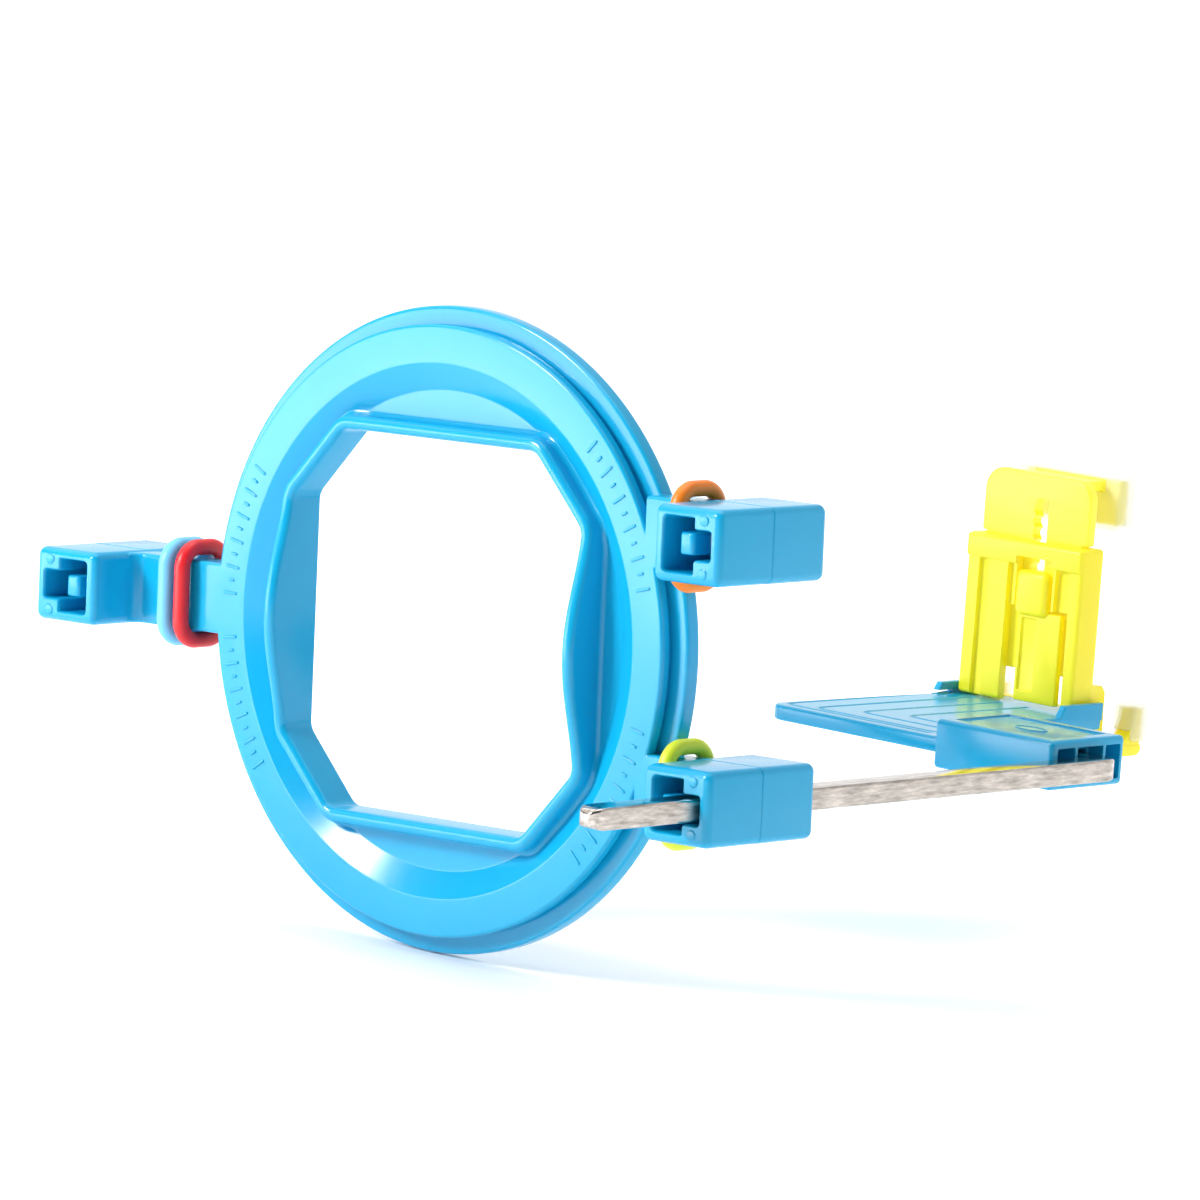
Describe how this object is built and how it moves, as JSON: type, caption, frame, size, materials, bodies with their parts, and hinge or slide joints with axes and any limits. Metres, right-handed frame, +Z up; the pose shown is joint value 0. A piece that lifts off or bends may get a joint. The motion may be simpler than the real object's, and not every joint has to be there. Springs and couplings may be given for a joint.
{
  "type": "dental X-ray sensor positioner",
  "caption": "Dental X-ray positioner: blue aiming ring with arm sockets, steel indicator arm, bite block and a yellow ratchet clamp for the sensor.",
  "frame": {"origin": "centre of the bounding box at floor height, below the ring's lowest point", "axes": "+Y along the indicator arm from the aiming ring towards the sensor clamp, +Z up, +X to the arm's side of the ring"},
  "size_m": [0.1314, 0.1502, 0.09],
  "materials": {
    "blue_plastic": "glossy moulded sky-blue plastic",
    "yellow_plastic": "semi-gloss, slightly translucent bright yellow plastic",
    "steel": "satin drawn bar with bright rounded edges",
    "silicone": "milky translucent silicone",
    "band_red": "smooth red elastic",
    "band_sky": "smooth light-blue elastic",
    "band_orange": "smooth orange elastic",
    "band_lime": "smooth yellow-green elastic"
  },
  "bodies": {
    "arm": {"indicator_arm": "steel"},
    "ring": {"aiming_ring": "blue_plastic", "socket_left": "blue_plastic", "socket_upper": "blue_plastic", "socket_lower": "blue_plastic", "band_red": "band_red", "band_sky": "band_sky", "band_orange": "band_orange", "band_lime": "band_lime"},
    "tongue_a": {"tongue_left": "blue_plastic"},
    "tongue_b": {"tongue_upper": "blue_plastic"},
    "tongue_c": {"tongue_lower": "blue_plastic"},
    "bite_block": {"bite_plate": "blue_plastic", "arm_socket_box": "blue_plastic"},
    "clamp": {"clamp_body": "yellow_plastic", "lower_pad_left": "silicone", "lower_pad_right": "silicone"},
    "pawl": {"pawl_lever": "yellow_plastic"},
    "slider": {"ratchet_slider": "yellow_plastic", "upper_pad": "silicone"}
  },
  "joints": [
    {"name": "ring_slide", "type": "slide", "parent": "arm", "child": "ring", "axis": [0, 1, 0], "range_m": [-0.015, 0.055]},
    {"name": "tongue_left_flex", "type": "hinge", "parent": "ring", "child": "tongue_a", "pos_m": [-0.05808, -0.03635, 0.04253], "axis": [-0.0436, 0, 0.999], "range_deg": [0, 5], "stiffness_Nm_per_rad": 0.05},
    {"name": "tongue_upper_flex", "type": "hinge", "parent": "ring", "child": "tongue_b", "pos_m": [0.05655, -0.03635, 0.0649], "axis": [0.0436, 0, -0.999], "range_deg": [0, 5], "stiffness_Nm_per_rad": 0.05},
    {"name": "tongue_lower_flex", "type": "hinge", "parent": "ring", "child": "tongue_c", "pos_m": [0.0581, -0.03635, 0.02946], "axis": [0.0436, 0, -0.999], "range_deg": [0, 1.5], "stiffness_Nm_per_rad": 0.05},
    {"name": "bite_block_slide", "type": "slide", "parent": "arm", "child": "bite_block", "axis": [-1, 0, 0], "range_m": [0, 0.012]},
    {"name": "clamp_slide", "type": "slide", "parent": "bite_block", "child": "clamp", "axis": [0, 1, 0], "range_m": [0, 0.006]},
    {"name": "pawl_hinge", "type": "hinge", "parent": "clamp", "child": "pawl", "pos_m": [0.02439, 0.0622, 0.03243], "axis": [1, 0, 0], "range_deg": [0, 8], "stiffness_Nm_per_rad": 0.02},
    {"name": "slider_travel", "type": "slide", "parent": "clamp", "child": "slider", "axis": [0, 0, 1], "range_m": [0, 0.011]}
  ]
}
